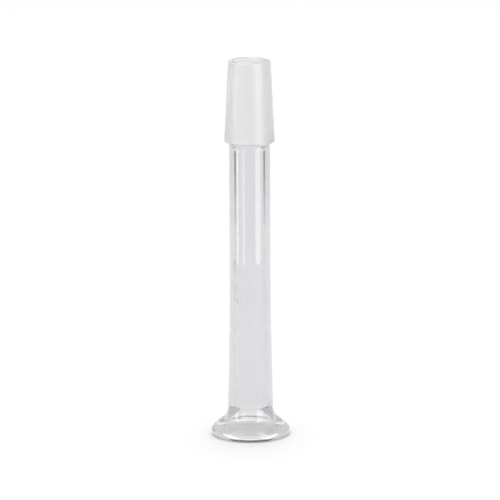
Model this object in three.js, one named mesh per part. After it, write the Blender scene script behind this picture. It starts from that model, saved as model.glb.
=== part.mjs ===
// A ground-joint vapour tube in clear borosilicate glass, standing on its flange. Millimetres, +Z up.
// The origin is the centre of the flat sealing face under the flange, and the tube's axis is Z.
// A glassblower makes the tube from stock stretches of glass and fuses them end to end in the flame.
// Each stretch is a solid of its own, drawn from its own lower end, and a thin slit stands for each fused seal.
import * as THREE from 'three';

// Driving dimensions: diameters and heights above the sealing face.
const TOTAL_HEIGHT = 180;
const CONE_WIDE_DIAMETER = 24; // the size that names a 24/40 standard-taper joint
const CONE_TAPER = 0.1; // millimetres of diameter lost in each millimetre of length
const CONE_LENGTH = 38.2;
const TUBE_DIAMETER = 19.6;
const TUBE_BORE = 13.2;
const FLANGE_DIAMETER = 37.4;
const FLANGE_MOUTH = 31.8; // the bell's opening at the sealing face

const FLANGE_SEAL_HEIGHT = 14; // where the flange's neck is fused to the lower tube
const MIDDLE_SEAL_HEIGHT = 74; // where the two tubes are fused
const NECK_SEAL_HEIGHT = 136; // where the upper tube is fused to the joint's shoulder
const CONE_BASE_HEIGHT = TOTAL_HEIGHT - CONE_LENGTH;
const SEAL_SLIT = 0.3; // clear space left between two solids at a fused seal

// The cone and the shoulder under it.
const CONE_WALL_AT_BASE = 4.1;
const CONE_WALL_AT_TIP = 2.55;
const TIP_ROUNDING = 0.5;
const SHOULDER_EDGE_HEIGHT = 0.5; // the rounded edge below the ground zone
const SHOULDER_UNDERSIDE_RADIUS = 11.3;
const SHOULDER_FILLET_HEIGHT = 0.5;
const SHOULDER_BORE_STRAIGHT = 1.65; // straight bore before it opens into the cone

// The tubes: the upper one is plain, and the lower one widens towards the flange, outside and in.
const LOWER_TUBE_SPREAD = 1; // growth of the outer radius down to the flange's neck
const LOWER_SPREAD_POWER = 1.5;
const LOWER_TUBE_BORE = 14;
const LOWER_BORE_REACH = 14; // length below the middle seal over which the bore opens out

// The flange: a short rim, a coned back, a hollow neck and a trumpet-shaped bell inside.
const RIM_HEIGHT = 2.6;
const RIM_FOOT_RUN = 1.3; // how far in the rounding under the rim goes
const RIM_FOOT_RISE = 1.6; // and how far up
const BACK_TOP_RADIUS = 13.7;
const BACK_TOP_HEIGHT = 7.4;
const BACK_FULLNESS = 1.63;
const NECK_FULLNESS = 1.27;
const MOUTH_ROUNDING = 0.4;
const BELL_FULLNESS = 1.55;

// Fineness of the faceted solids.
const SIDES = 48; // flat sides in a full turn
const EDGE_STEPS = 4;
const CURVE_STEPS = 8;
const BELL_STEPS = 12;

const glass = (colour, roughness) => new THREE.MeshStandardMaterial({
  color: colour,
  roughness,
  metalness: 0,
  transparent: true,
  opacity: 0.5,
});

/** A point of a profile: distance from the axis, then height. */
const point = (radius, height) => new THREE.Vector2(radius, height);

/**
 * A curve from start to end that leaves towards corner and arrives from corner.
 * It is a quarter superellipse: fullness 1 gives an elliptical quarter, and 2 a straight line.
 */
function bend(start, end, corner, fullness, steps) {
  return Array.from({ length: steps + 1 }, (_, i) => {
    const turn = (i / steps) * Math.PI / 2;
    const towardsStart = 1 - Math.sin(turn) ** fullness;
    const towardsEnd = 1 - Math.cos(turn) ** fullness;
    return corner.clone()
      .addScaledVector(start.clone().sub(corner), towardsStart)
      .addScaledVector(end.clone().sub(corner), towardsEnd);
  });
}

/** Points of a wall whose radius is a function of height, from one height to another. */
function wall(radiusAt, from, to, steps) {
  return Array.from({ length: steps + 1 }, (_, i) => {
    const height = THREE.MathUtils.lerp(from, to, i / steps);
    return point(radiusAt(height), height);
  });
}

/** A closed ring of glass: outer wall from bottom to top, then inner wall from top to bottom. */
function turned(name, baseHeight, outer, inner, material) {
  const profile = [...outer, ...inner];
  profile.push(profile[0].clone());
  const geometry = new THREE.LatheGeometry(profile, SIDES).rotateX(Math.PI / 2);
  const mesh = new THREE.Mesh(geometry, material);
  mesh.name = name;
  mesh.position.z = baseHeight;
  return mesh;
}

/** Height of a stretch between two seals, less half a slit at each end that is fused. */
const between = (lower, upper) => upper - lower - SEAL_SLIT;

/** The male cone: an even taper outside, ground all over, with an opened-out bore. */
function groundCone() {
  const height = CONE_LENGTH - SEAL_SLIT / 2;
  const baseRadius = (CONE_WIDE_DIAMETER - CONE_TAPER * SEAL_SLIT / 2) / 2;
  const tipRadius = (CONE_WIDE_DIAMETER - CONE_TAPER * CONE_LENGTH) / 2;
  const baseBore = CONE_WIDE_DIAMETER / 2 - CONE_WALL_AT_BASE;
  const tipBore = tipRadius - CONE_WALL_AT_TIP;
  const outer = [
    point(baseRadius, 0),
    ...bend(
      point(tipRadius, height - TIP_ROUNDING), point(tipRadius - TIP_ROUNDING, height),
      point(tipRadius, height), 1, EDGE_STEPS,
    ),
  ];
  const inner = [
    ...bend(
      point(tipBore + TIP_ROUNDING, height), point(tipBore, height - TIP_ROUNDING),
      point(tipBore, height), 1, EDGE_STEPS,
    ),
    point(baseBore, 0),
  ];
  return turned('ground_cone', CONE_BASE_HEIGHT + SEAL_SLIT / 2, outer, inner, glass(0xe4e5e8, 0.6));
}

/** The clear shoulder: the step from the tube out to the cone, with the bore opening inside it. */
function jointShoulder() {
  const height = between(NECK_SEAL_HEIGHT, CONE_BASE_HEIGHT);
  const underside = height - SHOULDER_EDGE_HEIGHT;
  const coneRadius = CONE_WIDE_DIAMETER / 2;
  const tubeRadius = TUBE_DIAMETER / 2;
  const outer = [
    point(tubeRadius, 0),
    ...bend(
      point(tubeRadius, underside - SHOULDER_FILLET_HEIGHT), point(SHOULDER_UNDERSIDE_RADIUS, underside),
      point(tubeRadius, underside), 1, EDGE_STEPS,
    ),
    ...bend(
      point(SHOULDER_UNDERSIDE_RADIUS, underside), point(coneRadius, height),
      point(coneRadius, underside), 1, EDGE_STEPS,
    ).slice(1),
  ];
  const boreGrowth = coneRadius - CONE_WALL_AT_BASE - TUBE_BORE / 2;
  const boreAt = (z) => TUBE_BORE / 2 + boreGrowth * THREE.MathUtils.smoothstep(z, SHOULDER_BORE_STRAIGHT, height);
  const inner = [...wall(boreAt, height, SHOULDER_BORE_STRAIGHT, CURVE_STEPS), point(TUBE_BORE / 2, 0)];
  return turned('joint_shoulder', NECK_SEAL_HEIGHT + SEAL_SLIT / 2, outer, inner, glass(0xe9e9ef, 0.05));
}

/** The upper tube: a plain straight pipe. */
function upperTube() {
  const height = between(MIDDLE_SEAL_HEIGHT, NECK_SEAL_HEIGHT);
  const radius = TUBE_DIAMETER / 2;
  const bore = TUBE_BORE / 2;
  const outer = [point(radius, 0), point(radius, height)];
  const inner = [point(bore, height), point(bore, 0)];
  return turned('upper_tube', MIDDLE_SEAL_HEIGHT + SEAL_SLIT / 2, outer, inner, glass(0xe6e6ef, 0.05));
}

/** Outer radius of the lower tube at a height above the sealing face. */
function lowerTubeRadius(height) {
  const fallen = (MIDDLE_SEAL_HEIGHT - height) / (MIDDLE_SEAL_HEIGHT - FLANGE_SEAL_HEIGHT);
  return TUBE_DIAMETER / 2 + LOWER_TUBE_SPREAD * Math.max(fallen, 0) ** LOWER_SPREAD_POWER;
}

/** The lower tube: it spreads slowly towards the flange, and its bore opens a little below the seal over it. */
function lowerTube() {
  const base = FLANGE_SEAL_HEIGHT + SEAL_SLIT / 2;
  const height = between(FLANGE_SEAL_HEIGHT, MIDDLE_SEAL_HEIGHT);
  const growth = (LOWER_TUBE_BORE - TUBE_BORE) / 2;
  const boreAt = (z) => TUBE_BORE / 2 + growth * THREE.MathUtils.smoothstep(height - z, 0, LOWER_BORE_REACH);
  const outer = wall((z) => lowerTubeRadius(base + z), 0, height, CURVE_STEPS);
  const inner = [...wall(boreAt, height, height - LOWER_BORE_REACH, CURVE_STEPS), point(LOWER_TUBE_BORE / 2, 0)];
  return turned('lower_tube', base, outer, inner, glass(0xe6e6ea, 0.05));
}

/** The flange: flat sealing face, short rim, coned back, hollow neck, and a bell that widens to its mouth. */
function flange() {
  const height = FLANGE_SEAL_HEIGHT - SEAL_SLIT / 2;
  const rimRadius = FLANGE_DIAMETER / 2;
  const neckRadius = lowerTubeRadius(height);
  const mouthRadius = FLANGE_MOUTH / 2;
  const boreRadius = LOWER_TUBE_BORE / 2;
  const outer = [
    ...bend(
      point(rimRadius - RIM_FOOT_RUN, 0), point(rimRadius, RIM_FOOT_RISE),
      point(rimRadius, 0), 1, EDGE_STEPS,
    ),
    ...bend(
      point(rimRadius, RIM_HEIGHT), point(BACK_TOP_RADIUS, BACK_TOP_HEIGHT),
      point(rimRadius, BACK_TOP_HEIGHT), BACK_FULLNESS, CURVE_STEPS,
    ),
    ...bend(
      point(BACK_TOP_RADIUS, BACK_TOP_HEIGHT), point(neckRadius, height),
      point(neckRadius, BACK_TOP_HEIGHT), NECK_FULLNESS, CURVE_STEPS,
    ).slice(1),
  ];
  const inner = [
    ...bend(
      point(boreRadius, height), point(mouthRadius, MOUTH_ROUNDING),
      point(boreRadius, MOUTH_ROUNDING), BELL_FULLNESS, BELL_STEPS,
    ),
    point(mouthRadius + MOUTH_ROUNDING, 0),
  ];
  return turned('flange', 0, outer, inner, glass(0xe6e7ea, 0.05));
}

const vapourTube = new THREE.Group();
vapourTube.add(groundCone(), jointShoulder(), upperTube(), lowerTube(), flange());

export default vapourTube;
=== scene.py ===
import math

import bpy
import numpy as np
from bpy.props import FloatProperty, FloatVectorProperty, PointerProperty
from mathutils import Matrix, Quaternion, Vector


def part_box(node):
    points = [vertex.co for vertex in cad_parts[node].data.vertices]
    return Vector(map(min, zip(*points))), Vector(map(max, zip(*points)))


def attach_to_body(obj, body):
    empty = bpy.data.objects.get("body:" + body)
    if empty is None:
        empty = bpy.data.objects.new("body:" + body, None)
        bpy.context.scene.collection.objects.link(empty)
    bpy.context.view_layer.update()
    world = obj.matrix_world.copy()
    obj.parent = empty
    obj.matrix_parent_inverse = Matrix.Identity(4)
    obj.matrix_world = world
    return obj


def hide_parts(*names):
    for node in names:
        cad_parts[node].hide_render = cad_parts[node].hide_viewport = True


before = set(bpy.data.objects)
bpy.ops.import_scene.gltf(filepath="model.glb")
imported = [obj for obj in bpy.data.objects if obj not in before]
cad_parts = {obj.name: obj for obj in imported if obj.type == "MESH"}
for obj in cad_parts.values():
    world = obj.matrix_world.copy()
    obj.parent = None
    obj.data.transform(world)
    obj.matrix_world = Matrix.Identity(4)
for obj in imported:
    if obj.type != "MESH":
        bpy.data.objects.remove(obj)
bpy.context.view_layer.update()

bl_info = {
    "name": "Glass Vapour Tube",
    "version": (1, 0, 0),
    "blender": (4, 5, 0),
    "location": "3D View > Sidebar > Vapour Tube",
    "description": "A lampworked vapour tube with a ground cone above and a flange below",
    "category": "Add Mesh",
}

MM = 0.001  # every length is in metres

# Fineness of the turned surfaces.
SIDES = 384  # steps in a full turn
CURVE_STEPS = 32
EDGE_STEPS = 10
WALL_STEPS = 60
SHARP_TURN = math.radians(35)  # an edge that turns more than this is shaded sharp

# Skins of a piece: which surface of the glass a stretch of its profile is.
OUTSIDE, BORE, SEAL, EDGE = range(4)

GLASS_IOR = 1.474  # borosilicate 3.3

CONE_TAPER = 0.1  # millimetres of diameter lost in each millimetre of length

# How full a curve is: 1 is an elliptical quarter and 2 a straight line.
ROUND = 1
BACK_FULLNESS = 1.63
NECK_FULLNESS = 1.27
BELL_FULLNESS = 1.55

SPREAD_POWER = 1.5  # how late the lower tube's spread sets in on the way down

# The two grooves at the middle seal.
GROOVE_TURNS = (-153, -141)  # degrees round the axis where a groove crosses the seal
GROOVE_SLANT = -0.65  # degrees round the axis in each millimetre of rise


def half_width(node):
    """Radius of a turned CAD node."""
    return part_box(node)[1].x


def seal_height(lower, upper):
    """Height of the fused seal between two CAD nodes, in the middle of the slit between them."""
    return (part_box(lower)[1].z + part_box(upper)[0].z) / 2


def tip_radius():
    """Radius of the ground cone at its tip, from its wide end, its length and its taper."""
    ground_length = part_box("ground_cone")[1].z - seal_height("joint_shoulder", "ground_cone")
    return half_width("joint_shoulder") - ground_length * CONE_TAPER / 2


def to_linear(hex_colour):
    """Linear red, green and blue of an sRGB colour such as "#d5d5d8"."""
    channels = np.array([int(hex_colour[i:i + 2], 16) for i in (1, 3, 5)]) / 255
    curved = ((channels + 0.055) / 1.055) ** 2.4
    return tuple(np.where(channels <= 0.04045, channels / 12.92, curved).tolist())


def length(name, description, default):
    """A length that a user may change, in metres."""
    return FloatProperty(
        name=name, description=description, default=default, min=0, precision=5,
        unit="LENGTH", subtype="DISTANCE",
    )


def share(name, description, default):
    """A share from 0 to 1 that a user may change."""
    return FloatProperty(
        name=name, description=description, default=default, min=0, max=1,
        subtype="FACTOR",
    )


def colour(name, description, hex_colour):
    """A colour that a user may change."""
    return FloatVectorProperty(
        name=name, description=description, default=to_linear(hex_colour), min=0, max=1,
        size=3, subtype="COLOR",
    )


def power(name, description, default):
    """A lamp's power that a user may change, in watts."""
    return FloatProperty(name=name, description=description, default=default, min=0, unit="POWER")


# --- Sizes, finishes and studio -----------------------------------------------------------------


class VapourTubeSizes(bpy.types.PropertyGroup):
    """Radii and heights of the vapour tube."""

    cone_radius: length("Cone radius", "Radius of the cone at its wide end", half_width("joint_shoulder"))
    tip_radius: length("Tip radius", "Radius of the ground cone at its tip", tip_radius())
    tip_bore: length("Tip bore", "Radius of the bore at the tip of the cone", 7.5 * MM)
    cone_bore: length("Cone bore", "Radius of the bore at the wide end of the cone", 7.9 * MM)
    tip_rounding: length("Tip rounding", "Rounding of the rim at the tip", 0.5 * MM)
    underside_radius: length("Underside radius", "Radius where the underside turns up", 11.3 * MM)
    shoulder_edge: length("Shoulder edge", "Height of the rounded edge under the cone", 0.5 * MM)
    shoulder_fillet: length("Shoulder fillet", "Height of the fillet under the underside", 0.5 * MM)
    neck_straight: length("Neck straight", "Straight bore above the neck's seal", 1.8 * MM)
    tube_radius: length("Tube radius", "Outer radius of the upper tube", half_width("upper_tube"))
    tube_bore: length("Tube bore", "Radius of the upper tube's bore", 6.6 * MM)
    tube_spread: length("Tube spread", "Growth of the lower tube's radius down to the flange", 1 * MM)
    lower_bore: length("Lower bore", "Radius of the lower tube's bore", 7 * MM)
    bore_opening: length("Bore opening", "Length over which the bore opens out under the seal", 14 * MM)
    rim_radius: length("Rim radius", "Outer radius of the flange", half_width("flange"))
    rim_height: length("Rim height", "Height of the flange's upright rim", 2.6 * MM)
    rim_run: length("Rim run", "How far in the rounding under the rim goes", 1.3 * MM)
    rim_rise: length("Rim rise", "How far up the rounding under the rim goes", 1.6 * MM)
    back_radius: length("Back radius", "Radius at the top of the flange's coned back", 13.7 * MM)
    back_height: length("Back height", "Height of the top of the flange's coned back", 7.4 * MM)
    mouth_radius: length("Mouth radius", "Radius of the bell at its mouth", 15.9 * MM)
    mouth_rounding: length("Mouth rounding", "Rounding between the bell and the sealing face", 0.4 * MM)
    groove_depth: length("Groove depth", "Depth of the grooves at the middle seal", 0.7 * MM)
    groove_width: length("Groove width", "Half-width of a groove at the middle seal", 0.5 * MM)
    groove_reach: length("Groove reach", "Half-length of a groove at the middle seal", 8 * MM)


class VapourTubeFinishes(bpy.types.PropertyGroup):
    """Colours and roughness of the glass."""

    tube_tint: colour("Tube tint", "Body colour of the thick tube", "#d5d5d8")
    # Paler than the tube: painted light that lifts the shade the glass casts on the floor under the foot.
    flange_painted_light_tint: colour("Flange tint", "Body colour of the thinner flange", "#f1f1f2")
    ground_tint: colour("Ground tint", "Body colour of the ground cone", "#f3f3f4")
    # A painted contact shadow: the dark line along the front of the rim's lower edge.
    edge_shadow_tint: colour("Edge tint", "Colour of the lapped edge at the sealing face", "#2c2c30")
    ground_roughness: share("Ground roughness", "How matt the ground cone is", 0.7)
    ground_clearness: share("Ground clearness", "How much light goes through the ground surface", 0.7)


class VapourTubeStudio(bpy.types.PropertyGroup):
    """Floor and light."""

    floor_colour: colour("Floor", "Colour of the plain floor", "#f3f3f3")
    sky_strength: FloatProperty(
        name="Sky", description="Strength of the light from all round", default=0.7, min=0,
    )
    softbox_power: power("Softbox", "Power of the softbox overhead", 29)
    right_power: power("Right strip", "Power of the strip light to the right", 2)
    front_power: power("Front strip", "Power of the strip light left of the camera", 0.6)
    left_power: power("Left strip", "Power of the strip light to the left", 0.9)


# --- Profiles and turned surfaces -----------------------------------------------------------------


def bend(start, end, corner, fullness, steps):
    """A curve from start to end that leaves towards corner and arrives from corner.

    It is a quarter superellipse. With the turn t from 0 to a right angle, the point is
    corner + (start - corner)(1 - sin(t)^fullness) + (end - corner)(1 - cos(t)^fullness).
    """
    turn = np.linspace(0, math.pi / 2, steps + 1)[:, None]
    start, end, corner = np.array(start), np.array(end), np.array(corner)
    towards_start = 1 - np.sin(turn) ** fullness
    towards_end = 1 - np.cos(turn) ** fullness
    return corner + (start - corner) * towards_start + (end - corner) * towards_end


def smooth_step(value, low, high):
    """0 below low and 1 above high, and between them 3t^2 - 2t^3, with t the share of the way."""
    t = np.clip((value - low) / (high - low), 0, 1)
    return t * t * (3 - 2 * t)


def wall(radius_at, start, end):
    """Points of a wall whose radius is a function of height, from one height to another."""
    heights = np.linspace(start, end, WALL_STEPS + 1)
    return np.column_stack([radius_at(heights), heights])


def plain(radius):
    """A wall's radius that is the same at every height."""
    return lambda heights: np.full_like(heights, radius)


def sharp_points(loop, skins):
    """True where a closed profile turns sharply, or where one skin of the glass meets another."""
    ahead = np.roll(loop, -1, axis=0) - loop
    heading = np.arctan2(ahead[:, 1], ahead[:, 0])
    turn = (heading - np.roll(heading, 1) + math.pi) % (2 * math.pi) - math.pi
    return (np.abs(turn) > SHARP_TURN) | (skins != np.roll(skins, 1))


def revolve(name, stretches, finishes, carve=None):
    """Carries a closed profile once round the axis.

    stretches are (points, skin) pairs in order: up the outside, over the top and down the bore. With the
    turn a from 0 to 2 pi and the j-th profile point (r, z), a vertex is (r cos a, r sin a, z). carve gives
    what is added to r from the turn, the radii and the heights, on the bore only. A skin covers the profile
    from its first point to the next stretch's first point, and finishes gives each skin's material.
    """
    loop = np.vstack([points for points, skin in stretches])
    skins = np.concatenate([np.full(len(points), skin) for points, skin in stretches])
    count = len(loop)
    turn = np.arange(SIDES) / SIDES * 2 * math.pi
    radius = np.tile(loop[:, 0], (SIDES, 1))
    if carve is not None:
        on_bore = (skins == BORE) | (np.roll(skins, 1) == BORE)
        radius = radius + carve(turn[:, None], loop[None, :, 0], loop[None, :, 1]) * on_bore
    height = np.broadcast_to(loop[:, 1], radius.shape)
    vertices = np.stack([radius * np.cos(turn)[:, None], radius * np.sin(turn)[:, None], height], axis=-1)

    side, place = np.meshgrid(np.arange(SIDES), np.arange(count), indexing="ij")
    next_side, next_place = (side + 1) % SIDES, (place + 1) % count
    quads = np.stack([
        side * count + place, next_side * count + place,
        next_side * count + next_place, side * count + next_place,
    ], axis=-1).reshape(-1, 4)

    mesh = bpy.data.meshes.new(name)
    mesh.vertices.add(SIDES * count)
    mesh.vertices.foreach_set("co", vertices.ravel())
    mesh.loops.add(quads.size)
    mesh.loops.foreach_set("vertex_index", quads.ravel())
    mesh.polygons.add(len(quads))
    mesh.polygons.foreach_set("loop_start", np.arange(len(quads)) * quads.shape[1])
    used, slots = np.unique(skins, return_inverse=True)
    mesh.polygons.foreach_set("material_index", np.tile(slots, SIDES))
    mesh.polygons.foreach_set("use_smooth", np.ones(len(quads), bool))
    mesh.update(calc_edges=True)
    for skin in used.tolist():
        mesh.materials.append(finishes[skin])
    mark_sharp_rings(mesh, sharp_points(loop, skins))
    piece = bpy.data.objects.new(name, mesh)
    bpy.context.scene.collection.objects.link(piece)
    return piece


def mark_sharp_rings(mesh, sharp):
    """Marks the rings of edges that run round the axis through the sharp points of the profile."""
    ends = np.empty(len(mesh.edges) * 2, int)
    mesh.edges.foreach_get("vertices", ends)
    places = ends.reshape(-1, 2) % len(sharp)
    ring = places[:, 0] == places[:, 1]
    mesh.edges.foreach_set("use_edge_sharp", ring & sharp[places[:, 0]])


def attach(piece, node):
    """Ties a finished piece to the frame: it rides on the one body and stands for its CAD node."""
    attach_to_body(piece, "root")
    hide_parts(node)


# --- Materials -----------------------------------------------------------------

DRAW_LINE_SPACING = 2 * MM
DRAW_LINE_DEPTH = 0.0003 * MM
GRIT_WIDTH = 0.3 * MM  # grit of 0.05 mm is too fine to show here, so it is drawn coarser
GRIT_DEPTH = 0.02 * MM
CLOUD_WIDTH = 4 * MM
CLOUD_SWING = 0.06  # of roughness, to both sides of the middle
GROUND_SHEEN = 0.35

# The painted contact shadow on the rim's lower edge: how far in front of the axis it starts and is full,
# and below which heights.
PAINTED_SHADOW_STARTS = 14.5 * MM
PAINTED_SHADOW_FULL = 16.2 * MM
PAINTED_SHADOW_TOP = 1.4 * MM
PAINTED_SHADOW_FULL_BELOW = 0.9 * MM

BLACK_VELVET = "#303030"


def add_node(tree, kind, settings=None, links=None):
    """Adds a node, sets its sockets and properties, and links its inputs from other nodes' sockets."""
    node = tree.nodes.new(kind)
    for key, value in (settings or {}).items():
        if key in node.inputs:
            node.inputs[key].default_value = value
        else:
            setattr(node, key, value)
    for key, source in (links or {}).items():
        tree.links.new(source, node.inputs[key])
    return node


def new_material(name, **settings):
    """A material of one shader. Without settings it is clear polished borosilicate."""
    material = bpy.data.materials.new(name)
    material.use_nodes = True
    sockets = {"IOR": GLASS_IOR, "Transmission Weight": 1.0, "Roughness": 0.0}
    sockets.update({key.replace("_", " "): value for key, value in settings.items()})
    for key, value in sockets.items():
        shader_of(material).inputs[key].default_value = value
    return material


def shader_of(material):
    """The one shader of a material."""
    return material.node_tree.nodes["Principled BSDF"]


def feed(material, socket, source):
    """Links another node's socket to an input of the material's shader."""
    material.node_tree.links.new(source, shader_of(material).inputs[socket])


def add_draw_lines(material):
    """Faint lines along the tube, left where it was drawn from the melt.

    A noise on object coordinates, one spacing wide across the axis and a hundred times as long down it.
    """
    tree = material.node_tree
    across, down = 1 / DRAW_LINE_SPACING, 1 / (100 * DRAW_LINE_SPACING)
    place = add_node(tree, "ShaderNodeTexCoord")
    stretch = add_node(tree, "ShaderNodeMapping", {
        "Scale": (across, across, down),
    }, {"Vector": place.outputs["Object"]})
    lines = add_node(tree, "ShaderNodeTexNoise", {
        "Scale": 1.0, "Detail": 2.0,
    }, {"Vector": stretch.outputs["Vector"]})
    bump = add_node(tree, "ShaderNodeBump", {
        "Strength": 1.0, "Distance": DRAW_LINE_DEPTH,
    }, {"Height": lines.outputs["Fac"]})
    feed(material, "Normal", bump.outputs["Normal"])


def drawn_glass(name, tint):
    """Borosilicate tube as drawn and flame-polished: clear, glossy, with faint lines down its length."""
    material = new_material(name, Base_Color=(*tint, 1))
    add_draw_lines(material)
    return material


def flange_glass(name, neck_tint, rim_tint_with_painted_light, neck_top, neck_foot):
    """Borosilicate spun out into the flange, its grey paler down the neck towards the rim: painted light
    that lifts the shade the glass casts on the floor under the foot.
    """
    material = new_material(name)
    tree = material.node_tree
    place = add_node(tree, "ShaderNodeTexCoord")
    parts = add_node(tree, "ShaderNodeSeparateXYZ", {}, {"Vector": place.outputs["Object"]})
    neck_share = add_node(tree, "ShaderNodeMapRange", {
        "interpolation_type": "SMOOTHSTEP", "From Min": neck_foot, "From Max": neck_top,
    }, {"Value": parts.outputs["Z"]})
    blend = add_node(tree, "ShaderNodeMixRGB", {
        "Color1": (*rim_tint_with_painted_light, 1), "Color2": (*neck_tint, 1),
    }, {"Fac": neck_share.outputs["Result"]})
    feed(material, "Base Color", blend.outputs["Color"])
    add_draw_lines(material)
    return material


def ground_glass(name, finishes):
    """Borosilicate ground with fine grit: a matt, milky surface that blurs what is behind it.

    The coat gives the sheen along the cone, the grit a fine grain, and the cloud patches that are a little
    more or less matt.
    """
    material = new_material(
        name, Base_Color=(*finishes.ground_tint, 1),
        Roughness=finishes.ground_roughness, Transmission_Weight=finishes.ground_clearness,
        Coat_Weight=1.0, Coat_Roughness=GROUND_SHEEN,
    )
    tree = material.node_tree
    place = add_node(tree, "ShaderNodeTexCoord")
    grit_and_painted_shadow = add_node(tree, "ShaderNodeTexNoise", {
        "Scale": 1 / GRIT_WIDTH, "Detail": 3.0,
    }, {"Vector": place.outputs["Object"]})
    bump = add_node(tree, "ShaderNodeBump", {
        "Strength": 0.5, "Distance": GRIT_DEPTH,
    }, {"Height": grit_and_painted_shadow.outputs["Fac"]})
    feed(material, "Normal", bump.outputs["Normal"])
    cloud = add_node(tree, "ShaderNodeTexNoise", {
        "Scale": 1 / CLOUD_WIDTH, "Detail": 2.0,
    }, {"Vector": place.outputs["Object"]})
    matt = add_node(tree, "ShaderNodeMapRange", {
        "To Min": finishes.ground_roughness - CLOUD_SWING,
        "To Max": finishes.ground_roughness + CLOUD_SWING,
    }, {"Value": cloud.outputs["Fac"]})
    feed(material, "Roughness", matt.outputs["Result"])
    return material


def edge_with_painted_shadow(name, rim_tint_with_painted_light, shadow_tint):
    """The rounding under the rim: clear glass, with a painted contact shadow along the front of its lower
    edge.

    The painted shadow is a thin dark line. It is densest at the front and thins out to both sides and
    upwards.
    """
    material = new_material(name)
    tree = material.node_tree
    place = add_node(tree, "ShaderNodeTexCoord")
    parts = add_node(tree, "ShaderNodeSeparateXYZ", {}, {"Vector": place.outputs["Object"]})
    front = add_node(tree, "ShaderNodeMapRange", {
        "interpolation_type": "SMOOTHSTEP", "From Min": -PAINTED_SHADOW_STARTS, "From Max": -PAINTED_SHADOW_FULL,
    }, {"Value": parts.outputs["Y"]})
    low = add_node(tree, "ShaderNodeMapRange", {
        "interpolation_type": "SMOOTHSTEP", "From Min": PAINTED_SHADOW_TOP, "From Max": PAINTED_SHADOW_FULL_BELOW,
    }, {"Value": parts.outputs["Z"]})
    grit_and_painted_shadow = add_node(tree, "ShaderNodeMath", {"operation": "MULTIPLY"}, {
        0: front.outputs["Result"], 1: low.outputs["Result"],
    })
    blend = add_node(tree, "ShaderNodeMixRGB", {
        "Color1": (*rim_tint_with_painted_light, 1), "Color2": (*shadow_tint, 1),
    }, {"Fac": grit_and_painted_shadow.outputs["Value"]})
    feed(material, "Base Color", blend.outputs["Color"])
    return material


def fused_seal(name):
    """Where two stretches of glass are fused there is no surface, so nothing of it is seen."""
    return new_material(name, Transmission_Weight=0.0, Alpha=0.0)


def material_once(name, make, *arguments):
    """The material of that name, made the first time it is asked for."""
    return bpy.data.materials.get(name) or make(name, *arguments)


def tube_finishes(finishes):
    """The skins of a piece of clear tube."""
    return {
        OUTSIDE: material_once("FirePolishedBorosilicate", drawn_glass, finishes.tube_tint),
        BORE: material_once("DrawnBore", drawn_glass, to_linear("#ffffff")),
        SEAL: material_once("FusedSeal", fused_seal),
    }


# --- The pieces -----------------------------------------------------------------


def seal_grooves(sizes):
    """Thin slanted grooves in the bore, left where the two tubes were pushed together in the flame.

    A groove adds depth exp(-(arc / width)^2) exp(-(rise / reach)^4) to the radius. arc is the distance
    round the bore from the groove's line, which turns as it rises, and rise is the height above the seal.
    """
    middle = seal_height("lower_tube", "upper_tube")

    def carve(turn, radius, height):
        rise = height - middle
        change = 0
        for start in GROOVE_TURNS:
            line = math.radians(start) + math.radians(GROOVE_SLANT) / MM * rise
            arc = ((turn - line + math.pi) % (2 * math.pi) - math.pi) * radius
            across = np.exp(-(arc / sizes.groove_width) ** 2)
            along = np.exp(-(rise / sizes.groove_reach) ** 4)
            change = change + sizes.groove_depth * across * along
        return change
    return carve


def lower_radius(sizes):
    """The lower tube's outer radius: it grows with a power of the share of the way down."""
    top = seal_height("lower_tube", "upper_tube")
    foot = seal_height("flange", "lower_tube")

    def radius_at(heights):
        return sizes.tube_radius + sizes.tube_spread * ((top - heights) / (top - foot)) ** SPREAD_POWER
    return radius_at


class VAPOURTUBE_OT_ground_cone(bpy.types.Operator):
    """Makes the male cone, an even taper ground matt outside, open at the tip."""

    bl_idname = "vapour_tube.ground_cone"
    bl_label = "Ground Cone"

    def execute(self, context):
        sizes, finishes = context.scene.vapour_tube_sizes, context.scene.vapour_tube_finishes
        base, tip = seal_height("joint_shoulder", "ground_cone"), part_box("ground_cone")[1].z
        outer, bore = sizes.tip_radius, sizes.tip_bore
        curl = sizes.tip_rounding
        crown = bend((outer, tip - curl), (outer - curl, tip), (outer, tip), ROUND, EDGE_STEPS)
        lip = bend((bore + curl, tip), (bore, tip - curl), (bore, tip), ROUND, EDGE_STEPS)
        taper = np.linspace((sizes.cone_radius, base), (outer, tip - curl), WALL_STEPS + 1)[:-1]
        opening = np.linspace((bore, tip - curl), (sizes.cone_bore, base), WALL_STEPS + 1)[1:-1]
        skins = tube_finishes(finishes)
        skins[OUTSIDE] = material_once("GroundBorosilicate", ground_glass, finishes)
        piece = revolve("ground_cone_glass", [
            (taper, OUTSIDE), (crown[:-1], OUTSIDE), (crown[-1:], BORE), (lip, BORE), (opening, BORE),
            (np.array([(sizes.cone_bore, base)]), SEAL),
        ], skins)
        attach(piece, "ground_cone")
        return {"FINISHED"}


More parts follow.
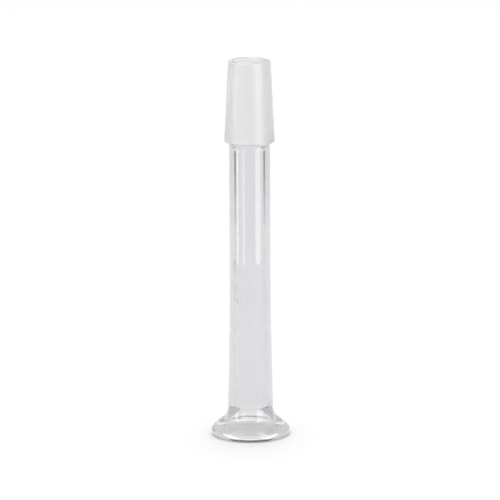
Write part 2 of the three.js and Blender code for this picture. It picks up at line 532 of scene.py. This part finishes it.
class VAPOURTUBE_OT_joint_shoulder(bpy.types.Operator):
    """Makes the clear shoulder, the step out from the tube to the cone with the bore opening inside it."""

    bl_idname = "vapour_tube.joint_shoulder"
    bl_label = "Joint Shoulder"

    def execute(self, context):
        sizes, finishes = context.scene.vapour_tube_sizes, context.scene.vapour_tube_finishes
        foot = seal_height("upper_tube", "joint_shoulder")
        top = seal_height("joint_shoulder", "ground_cone")
        underside = top - sizes.shoulder_edge
        tube, lip, cone = sizes.tube_radius, sizes.underside_radius, sizes.cone_radius
        fillet_foot = underside - sizes.shoulder_fillet
        fillet = bend((tube, fillet_foot), (lip, underside), (tube, underside), ROUND, EDGE_STEPS)
        edge = bend((lip, underside), (cone, top), (cone, underside), ROUND, EDGE_STEPS)
        growth = sizes.cone_bore - sizes.tube_bore
        start = foot + sizes.neck_straight
        bore = wall(lambda z: sizes.tube_bore + growth * smooth_step(z, start, top), top, foot)
        piece = revolve("joint_shoulder_glass", [
            (np.array([(tube, foot)]), OUTSIDE), (fillet, OUTSIDE), (edge[1:-1], OUTSIDE),
            (edge[-1:], SEAL), (bore[:-1], BORE), (bore[-1:], SEAL),
        ], tube_finishes(finishes))
        attach(piece, "joint_shoulder")
        return {"FINISHED"}


class VAPOURTUBE_OT_tubes(bpy.types.Operator):
    """Makes the upper and the lower tube, fused at mid-length with the grooves of the seal in the bore."""

    bl_idname = "vapour_tube.tubes"
    bl_label = "Upper and Lower Tube"

    def execute(self, context):
        sizes, finishes = context.scene.vapour_tube_sizes, context.scene.vapour_tube_finishes
        neck = seal_height("upper_tube", "joint_shoulder")
        middle = seal_height("lower_tube", "upper_tube")
        foot = seal_height("flange", "lower_tube")
        opened = sizes.lower_bore - sizes.tube_bore

        def lower_bore(z):
            return sizes.tube_bore + opened * smooth_step(middle - z, 0, sizes.bore_opening)

        shapes = (
            ("upper_tube", middle, neck, plain(sizes.tube_radius), plain(sizes.tube_bore)),
            ("lower_tube", foot, middle, lower_radius(sizes), lower_bore),
        )
        for node, low, high, outer_at, bore_at in shapes:
            outer, bore = wall(outer_at, low, high), wall(bore_at, high, low)
            piece = revolve(node + "_glass", [
                (outer[:-1], OUTSIDE), (outer[-1:], SEAL), (bore[:-1], BORE), (bore[-1:], SEAL),
            ], tube_finishes(finishes), seal_grooves(sizes))
            attach(piece, node)
        return {"FINISHED"}


class VAPOURTUBE_OT_flange(bpy.types.Operator):
    """Makes the flange: a short rim, a coned back, a hollow neck and a bell that widens to its mouth."""

    bl_idname = "vapour_tube.flange"
    bl_label = "Flange"

    def execute(self, context):
        sizes, finishes = context.scene.vapour_tube_sizes, context.scene.vapour_tube_finishes
        top = seal_height("flange", "lower_tube")
        neck = float(lower_radius(sizes)(np.array([top]))[0])
        rim, back, high = sizes.rim_radius, sizes.back_radius, sizes.back_height
        mouth, lip, bore = sizes.mouth_radius, sizes.mouth_rounding, sizes.lower_bore
        edge = bend((rim - sizes.rim_run, 0), (rim, sizes.rim_rise), (rim, 0), ROUND, CURVE_STEPS)
        slope = bend((rim, sizes.rim_height), (back, high), (rim, high), BACK_FULLNESS, CURVE_STEPS)
        hollow = bend((back, high), (neck, top), (neck, high), NECK_FULLNESS, CURVE_STEPS)
        bell = bend((bore, top), (mouth, lip), (bore, lip), BELL_FULLNESS, WALL_STEPS)
        skins = tube_finishes(finishes)
        # The flange's grey is painted paler down the neck: painted light lifting the shade under the foot.
        skins[OUTSIDE] = material_once(
            "FlangeBorosilicate", flange_glass, finishes.tube_tint, finishes.flange_painted_light_tint, top, high,
        )
        # The rim's lower edge carries a painted contact shadow along its front.
        skins[EDGE] = material_once("LappedEdge", edge_with_painted_shadow, finishes.flange_painted_light_tint, finishes.edge_shadow_tint)
        piece = revolve("flange_glass", [
            (edge[:-1], EDGE), (edge[-1:], OUTSIDE), (slope, OUTSIDE), (hollow[1:-1], OUTSIDE),
            (hollow[-1:], SEAL), (bell, BORE), (np.array([(mouth + lip, 0)]), OUTSIDE),
        ], skins)
        attach(piece, "flange")
        return {"FINISHED"}


# --- The stage -----------------------------------------------------------------

CAMERA_DISTANCE = 2.0
CAMERA_HEIGHT = 0.51032
AIM_HEIGHT = 0.08916
CAMERA_ROLL = math.radians(-0.23)
CAMERA_LENS = 310.99  # millimetres
CAMERA_SENSOR = 36  # millimetres
CAMERA_SIGHT = 30  # how far the camera sees
MOST_BOUNCES = 128

FLOOR_SIZE = 14
FLOOR_DROP = 0.2 * MM  # keeps the floor just clear of the sealing face
HORIZON_STRENGTH = 0.64
HORIZON_HEIGHT = 0.15  # sine of the elevation from which the sky has its full strength

SOFTBOX_SIZE = (2.4, 3.0)
SOFTBOX_PLACE = (0, 0.5, 1.8)
SOFTBOX_TARGET = (0, 0.5, 0)
STRIP_DISTANCE = 0.4
STRIP_HEIGHT = 0.8
STRIPS = (  # name, degrees round to the right of the camera, width, and the setting with its power
    ("strip_right", 46, 0.22, "right_power"),
    ("strip_front", -34, 0.1, "front_power"),
    ("strip_left", -71, 0.05, "left_power"),
)

FLAG_DISTANCE = 0.5
FLAG_WIDTH = 0.25
FLAGS = ((28, 0.22), (152, 0.1))  # degrees round the axis, and height
FOOT_FEATHER_HEIGHT = 0.042  # where the cards are as dark as they get
FOOT_ALPHA = 0.2
FULL_ALPHA = 0.65
TOP_FEATHER_SHARE = 0.5  # the share of a card's height from which it fades out upwards


def aim(thing, place, target):
    """Puts a lamp or a camera into the scene at a place, turned to look at a target."""
    thing.location = place
    thing.rotation_mode = "QUATERNION"
    thing.rotation_quaternion = (Vector(place) - Vector(target)).to_track_quat("Z", "Y")
    bpy.context.scene.collection.objects.link(thing)


def add_area_light(name, size, watts, place, target):
    """A soft rectangular light that isn't seen by the camera."""
    lamp = bpy.data.lights.new(name, "AREA")
    lamp.shape = "RECTANGLE"
    lamp.size, lamp.size_y = size
    lamp.energy = watts
    light = bpy.data.objects.new(name, lamp)
    aim(light, place, target)
    light.visible_camera = False
    return light


def add_strip(name, turn, width, watts):
    """An upright strip light standing on the floor, turn degrees round to the right of the camera.

    It is there to be mirrored in the glass. It adds no diffuse light, and isn't seen through the glass.
    """
    angle, middle = math.radians(turn), STRIP_HEIGHT / 2
    place = (STRIP_DISTANCE * math.sin(angle), -STRIP_DISTANCE * math.cos(angle), middle)
    light = add_area_light(name, (width, STRIP_HEIGHT), watts, place, (0, 0, middle))
    light.visible_diffuse = False
    light.visible_transmission = False


def add_sheet(name, corners, material):
    """A flat rectangle of the stage, from its four corners."""
    mesh = bpy.data.meshes.new(name)
    mesh.from_pydata(corners, [], [(0, 1, 2, 3)])
    mesh.materials.append(material)
    sheet = bpy.data.objects.new(name, mesh)
    bpy.context.scene.collection.objects.link(sheet)
    return sheet


def floor_paper(name, studio):
    """Matt background paper: a plain pale surface."""
    return new_material(
        name, Base_Color=(*studio.floor_colour, 1), Roughness=0.6, Transmission_Weight=0.0,
    )


def black_flag(name):
    """Black velvet on a card, feathered at its foot and top so that its image in the glass fades out."""
    material = new_material(
        name, Base_Color=(*to_linear(BLACK_VELVET), 1), Roughness=1.0, Transmission_Weight=0.0,
    )
    tree = material.node_tree
    place = add_node(tree, "ShaderNodeTexCoord")
    parts = add_node(tree, "ShaderNodeSeparateXYZ", {}, {"Vector": place.outputs["Object"]})
    foot = add_node(tree, "ShaderNodeMapRange", {
        "interpolation_type": "SMOOTHSTEP", "From Min": 0.0, "From Max": FOOT_FEATHER_HEIGHT,
        "To Min": FOOT_ALPHA, "To Max": FULL_ALPHA,
    }, {"Value": parts.outputs["Z"]})
    shares = add_node(tree, "ShaderNodeSeparateXYZ", {}, {"Vector": place.outputs["Generated"]})
    top = add_node(tree, "ShaderNodeMapRange", {
        "interpolation_type": "SMOOTHSTEP", "From Min": 1.0, "From Max": TOP_FEATHER_SHARE,
    }, {"Value": shares.outputs["Z"]})
    alpha = add_node(tree, "ShaderNodeMath", {"operation": "MULTIPLY"}, {
        0: foot.outputs["Result"], 1: top.outputs["Result"],
    })
    feed(material, "Alpha", alpha.outputs["Value"])
    return material


def add_flag(turn, height, material):
    """A low black card facing the tube. Only the glass sees it: it gives a clear bore its dark lines."""
    angle = math.radians(turn)
    out = np.array([math.cos(angle), math.sin(angle)])
    along = np.array([-math.sin(angle), math.cos(angle)])
    left = FLAG_DISTANCE * out - FLAG_WIDTH / 2 * along
    right = FLAG_DISTANCE * out + FLAG_WIDTH / 2 * along
    corners = [(*left, 0), (*right, 0), (*right, height), (*left, height)]
    flag = add_sheet(f"black_flag_{turn}", corners, material)
    flag.visible_camera = False
    flag.visible_diffuse = False
    flag.visible_shadow = False


def add_sky(strength):
    """Even white light from all round, weaker at the horizon so that floor and sky meet without a line."""
    world = bpy.data.worlds.new("StudioSky")
    bpy.context.scene.world = world
    world.use_nodes = True
    tree = world.node_tree
    place = add_node(tree, "ShaderNodeTexCoord")
    parts = add_node(tree, "ShaderNodeSeparateXYZ", {}, {"Vector": place.outputs["Generated"]})
    glow = add_node(tree, "ShaderNodeMapRange", {
        "interpolation_type": "SMOOTHSTEP", "From Min": 0.0, "From Max": HORIZON_HEIGHT,
        "To Min": HORIZON_STRENGTH, "To Max": strength,
    }, {"Value": parts.outputs["Z"]})
    tree.links.new(glow.outputs["Result"], tree.nodes["Background"].inputs["Strength"])
    tree.nodes["Background"].inputs["Color"].default_value = (1, 1, 1, 1)


def add_camera():
    """The camera: a long lens a little above the tube, with no shift and no depth of field."""
    lens = bpy.data.cameras.new("Camera")
    lens.lens = CAMERA_LENS
    lens.sensor_width = CAMERA_SENSOR
    lens.clip_end = CAMERA_SIGHT
    camera = bpy.data.objects.new("Camera", lens)
    aim(camera, (0, -CAMERA_DISTANCE, CAMERA_HEIGHT), (0, 0, AIM_HEIGHT))
    camera.rotation_quaternion @= Quaternion((0, 0, 1), CAMERA_ROLL)
    bpy.context.scene.camera = camera


def set_colours_and_light_paths():
    """Plain colours, and room for light to turn many times inside thick glass before it comes out."""
    scene = bpy.context.scene
    scene.view_settings.view_transform = "Standard"
    for limit in ("max_bounces", "glossy_bounces", "transmission_bounces", "transparent_max_bounces"):
        setattr(scene.cycles, limit, MOST_BOUNCES)


class VAPOURTUBE_OT_studio(bpy.types.Operator):
    """Makes the plain floor, the soft light and the camera."""

    bl_idname = "vapour_tube.studio"
    bl_label = "Studio"

    def execute(self, context):
        studio = context.scene.vapour_tube_studio
        far, near, low = FLOOR_SIZE / 2, -FLOOR_SIZE / 2, -FLOOR_DROP
        corners = [(near, near, low), (far, near, low), (far, far, low), (near, far, low)]
        add_sheet("floor", corners, material_once("BackgroundPaper", floor_paper, studio))
        flag = material_once("BlackVelvet", black_flag)
        for turn, height in FLAGS:
            add_flag(turn, height, flag)
        add_area_light("softbox", SOFTBOX_SIZE, studio.softbox_power, SOFTBOX_PLACE, SOFTBOX_TARGET)
        for name, turn, width, setting in STRIPS:
            add_strip(name, turn, width, getattr(studio, setting))
        add_sky(studio.sky_strength)
        add_camera()
        set_colours_and_light_paths()
        return {"FINISHED"}


# --- The add-on -----------------------------------------------------------------


class VAPOURTUBE_PT_sidebar(bpy.types.Panel):
    """A button for the stage and for each piece or pair of pieces, and the settings under them."""

    bl_idname = "VAPOURTUBE_PT_sidebar"
    bl_label = "Vapour Tube"
    bl_space_type = "VIEW_3D"
    bl_region_type = "UI"
    bl_category = "Vapour Tube"

    def draw(self, context):
        column = self.layout.column()
        for operator in OPERATORS:
            column.operator(operator.bl_idname)
        for name in GROUPS:
            box = self.layout.box()
            settings = getattr(context.scene, name)
            for key in type(settings).__annotations__:
                box.prop(settings, key)


GROUPS = {
    "vapour_tube_sizes": VapourTubeSizes,
    "vapour_tube_finishes": VapourTubeFinishes,
    "vapour_tube_studio": VapourTubeStudio,
}
OPERATORS = (
    VAPOURTUBE_OT_studio,
    VAPOURTUBE_OT_ground_cone,
    VAPOURTUBE_OT_joint_shoulder,
    VAPOURTUBE_OT_tubes,
    VAPOURTUBE_OT_flange,
)


def register():
    """Registers every class, and gives the scene its groups of settings."""
    for group in (*GROUPS.values(), *OPERATORS, VAPOURTUBE_PT_sidebar):
        bpy.utils.register_class(group)
    for name, group in GROUPS.items():
        setattr(bpy.types.Scene, name, PointerProperty(type=group))


def unregister():
    """Undoes what register did."""
    for name in GROUPS:
        delattr(bpy.types.Scene, name)
    for group in (VAPOURTUBE_PT_sidebar, *reversed(OPERATORS), *GROUPS.values()):
        bpy.utils.unregister_class(group)


def main():
    """Makes the stage and every piece."""
    register()
    bpy.ops.vapour_tube.studio()
    bpy.ops.vapour_tube.ground_cone()
    bpy.ops.vapour_tube.joint_shoulder()
    bpy.ops.vapour_tube.tubes()
    bpy.ops.vapour_tube.flange()


if __name__ == "__main__":
    main()
